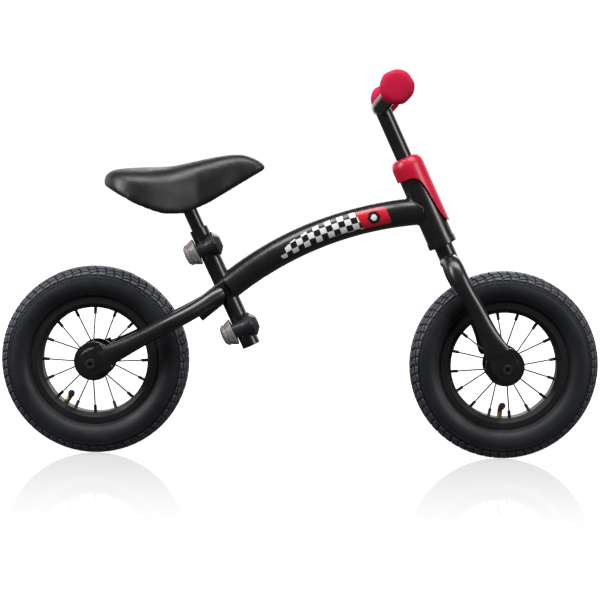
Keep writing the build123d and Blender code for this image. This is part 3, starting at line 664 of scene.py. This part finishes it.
def section_at(x, half_section):
    """The cushion's closed outline at a station, as (across, height)."""
    top, low, width = line_at("top", x), line_at("low", x), line_at("plan", x)
    inset = SKIN * np.clip(min(x - BACK_X, NOSE_X - x) / TIP_FADE, 0.15, 1)
    top, low, width = top - inset, low + inset * 0.3, max(width - inset, 1.0)
    inner = line_at("hollow", x) + 0.6
    if inner > HOLLOW_LEAST and x < HOLLOW_END:
        roof = roof_at(x) + 0.5
    else:
        inner, roof = width * 0.5, low
    half = np.column_stack((half_section[:, 0] * width, top - half_section[:, 1] * (top - low)))
    edge = half[-1, 0]
    under = [(inner + (edge - inner) * share, low) for share in (0.66, 0.33, 0.0)]
    under += [(inner, low + (roof - low) * share) for share in (0.33, 0.66, 1.0)]
    under += [(inner * share, roof) for share in (0.75, 0.5, 0.25)]
    half = np.vstack((half, under))
    return np.vstack((half, [(0, roof)], half[:0:-1] * (-1, 1)))


def saddle_shell():
    """The cushion before it swells, hollow underneath."""
    half_section = curve_through(SECTION, 26)
    middle, reach = (BACK_X + NOSE_X) / 2, (NOSE_X - BACK_X) / 2
    spread = middle - reach * np.cos(np.linspace(0, math.pi, STATIONS))    # closer at both tips
    points = []
    for x in np.clip(spread, BACK_X, NOSE_X):
        outline = section_at(x, half_section)
        points.extend((x, y, z) for y, z in outline)
    columns = len(outline)
    faces = grid_faces(STATIONS, columns, close_columns=True)
    faces.append(tuple(range(columns)))
    faces.append(tuple(range(len(points) - 1, len(points) - 1 - columns, -1)))
    piece = make_piece("saddle_cushion", points, faces, "seat", "saddle_vinyl", sharp=180)
    shape = bmesh.new()
    shape.from_mesh(piece.data)
    bmesh.ops.recalc_face_normals(shape, faces=shape.faces)
    shape.to_mesh(piece.data)
    shape.free()
    return piece


def apply_modifier(piece, kind, **settings):
    modifier = piece.modifiers.new(kind.lower(), kind)
    for key, value in settings.items():
        setattr(modifier, key, value)
    bpy.ops.object.modifier_apply(modifier=modifier.name)


def positions(mesh):
    flat = np.zeros(len(mesh.vertices) * 3)
    mesh.vertices.foreach_get("co", flat)
    return flat.reshape(-1, 3)


def swell(piece):
    """Blow the cushion up as cloth under pressure, held where it meets the base and at its edge."""
    rest = positions(piece.data)
    mm = rest / MM
    inner, low = line_at("hollow", mm[:, 0]), line_at("low", mm[:, 0])
    under = (np.abs(mm[:, 1]) < inner + HELD_MARGIN) & (mm[:, 2] < roof_at(mm[:, 0]) + HELD_MARGIN)
    low_edge = mm[:, 2] < low + HELD_MARGIN
    held = piece.vertex_groups.new(name="held")
    held.add([int(i) for i in np.nonzero(under | low_edge)[0]], 1.0, "REPLACE")
    cloth = piece.modifiers.new("cloth", "CLOTH")
    cloth.settings.vertex_group_mass = "held"
    cloth.settings.use_pressure = True
    cloth.settings.uniform_pressure_force = 4
    cloth.settings.effector_weights.gravity = 0
    cloth.settings.tension_stiffness = 40
    cloth.settings.bending_stiffness = 12
    cloth.point_cache.frame_start, cloth.point_cache.frame_end = 1, SWELL_FRAMES
    for step in range(1, SWELL_FRAMES + 1):
        scene.frame_set(step)
    shift = positions(piece.evaluated_get(bpy.context.evaluated_depsgraph_get()).data) - rest
    piece.modifiers.remove(cloth)
    scene.frame_set(1)
    length = np.linalg.norm(shift, axis=1)
    shift *= (np.minimum(length, SWELL_CAP * MM) / np.maximum(length, 1e-9))[:, None]
    piece.data.vertices.foreach_set("co", (rest + shift).ravel())
    piece.data.update()
    apply_modifier(piece, "SMOOTH", factor=0.5, iterations=3)


saddle = saddle_shell()
bpy.ops.object.select_all(action="DESELECT")
saddle.select_set(True)
bpy.context.view_layer.objects.active = saddle
apply_modifier(saddle, "REMESH", mode="VOXEL", voxel_size=VOXEL)
apply_modifier(saddle, "SMOOTH", factor=0.5, iterations=9)
swell(saddle)
apply_modifier(saddle, "SUBSURF", levels=1, render_levels=1)
saddle.data.shade_smooth()
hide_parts("saddle_pad")

# ---------------------------------------------------------------- floor, wall and light
FLOOR_Z = -0.0006
FLOOR_REACH = 60.0
# Painted shade: near the bike the floor's glow is painted dimmer, which lets the bike's reflection show, and
# further off it rises to white.
PAINTED_SHADE_GLOW, WHITE_GLOW = 0.66, 1.05
GLOW_REACH = 0.75                       # beside the bike's middle plane, to both sides
GLOW_ROUND = (0.55, 1.1)                # and round the bike
WALL_Y, WALL_HALF, WALL_TOP = 3.5, 8.0, 2.5


def stage_sheet(name, corners, base):
    """A four-cornered sheet of the studio, with a white glow, and its shader."""
    mesh = bpy.data.meshes.new(name)
    mesh.from_pydata(corners, [], [(0, 1, 2, 3)])
    sheet = bpy.data.objects.new(name, mesh)
    scene.collection.objects.link(sheet)
    paint = bpy.data.materials.new(f"{name}_white")
    paint.use_nodes = True
    shader = paint.node_tree.nodes["Principled BSDF"]
    shader.inputs["Base Color"].default_value = (base, base, base, 1)
    shader.inputs["Emission Color"].default_value = (1, 1, 1, 1)
    shader.inputs["Emission Strength"].default_value = 1.0
    mesh.materials.append(paint)
    sheet.visible_diffuse = False
    return sheet, shader, paint.node_tree


floor, floor_shader, floor_tree = stage_sheet("floor", [
    (-FLOOR_REACH, -FLOOR_REACH, 0), (FLOOR_REACH, -FLOOR_REACH, 0),
    (FLOOR_REACH, FLOOR_REACH, 0), (-FLOOR_REACH, FLOOR_REACH, 0),
], 0.12)
floor.location.z = FLOOR_Z
floor.visible_glossy = False
floor_shader.inputs["Roughness"].default_value = 0.05


def floor_node(kind, operation=None):
    made = floor_tree.nodes.new(kind)
    if operation:
        made.operation = operation
    return made


# Painted shade: ramps the floor's glow from its dim value near the bike up to white.
def painted_shade_ramp(value, start, end):
    made = floor_node("ShaderNodeMapRange")
    made.inputs["From Min"].default_value = start
    made.inputs["From Max"].default_value = end
    made.inputs["To Min"].default_value = PAINTED_SHADE_GLOW
    made.inputs["To Max"].default_value = WHITE_GLOW
    floor_tree.links.new(value, made.inputs["Value"])
    return made.outputs["Result"]


# Near the bike's middle plane the floor mirrors the white wall, and its glow is painted dimmer there as
# painted shade round the bike; further off it glows into white.
spot = floor_node("ShaderNodeTexCoord").outputs["Object"]
split = floor_node("ShaderNodeSeparateXYZ")
aside = floor_node("ShaderNodeMath", "ABSOLUTE")
away = floor_node("ShaderNodeVectorMath", "LENGTH")
brighter = floor_node("ShaderNodeMath", "MAXIMUM")
floor_tree.links.new(spot, split.inputs["Vector"])
floor_tree.links.new(split.outputs["Y"], aside.inputs[0])
floor_tree.links.new(spot, away.inputs[0])
floor_tree.links.new(painted_shade_ramp(aside.outputs["Value"], 0.0, GLOW_REACH), brighter.inputs[0])
floor_tree.links.new(painted_shade_ramp(away.outputs["Value"], *GLOW_ROUND), brighter.inputs[1])
floor_tree.links.new(brighter.outputs["Value"], floor_shader.inputs["Emission Strength"])

# The wall is seen only in the floor and in glossy surfaces.
wall, _, _ = stage_sheet("wall", [
    (-WALL_HALF, WALL_Y, 0), (WALL_HALF, WALL_Y, 0),
    (WALL_HALF, WALL_Y, WALL_TOP), (-WALL_HALF, WALL_Y, WALL_TOP),
], 0.0)
wall.visible_camera = False
wall.visible_shadow = False

# White behind the bike, and a faint glow on everything else.
world = bpy.data.worlds.new("studio")
scene.world = world
world.use_nodes = True
tree = world.node_tree
faint = tree.nodes["Background"]
bright = tree.nodes.new("ShaderNodeBackground")
for backdrop, strength in ((faint, 0.08), (bright, WHITE_GLOW)):
    backdrop.inputs["Color"].default_value = (1, 1, 1, 1)
    backdrop.inputs["Strength"].default_value = strength
path = tree.nodes.new("ShaderNodeLightPath")
blend = tree.nodes.new("ShaderNodeMixShader")
tree.links.new(path.outputs["Is Camera Ray"], blend.inputs["Fac"])
tree.links.new(faint.outputs["Background"], blend.inputs[1])
tree.links.new(bright.outputs["Background"], blend.inputs[2])
tree.links.new(blend.outputs["Shader"], tree.nodes["World Output"].inputs["Surface"])


def add_light(name, place, aim, size, power):
    """A rectangular soft light: its size in metres and its power in watts."""
    data = bpy.data.lights.new(name, "AREA")
    data.shape = "RECTANGLE"
    data.size, data.size_y = size
    data.energy = power
    lamp = bpy.data.objects.new(name, data)
    lamp.location = place
    lamp.rotation_mode = "QUATERNION"
    lamp.rotation_quaternion = (Vector(aim) - Vector(place)).to_track_quat("-Z", "Y")
    scene.collection.objects.link(lamp)


add_light("overhead", (0.0, -0.7, 2.2), (0, 0, 0.25), (2.6, 0.9), 56)
add_light("left_side", (-2.0, -0.9, 1.2), (0, 0, 0.3), (0.9, 1.2), 30)
add_light("right_side", (1.9, -1.3, 1.0), (0.1, 0, 0.3), (0.7, 1.2), 18)
add_light("behind", (0.3, 2.2, 1.5), (0, 0, 0.3), (1.6, 0.8), 14)
scene.view_settings.view_transform = "Standard"
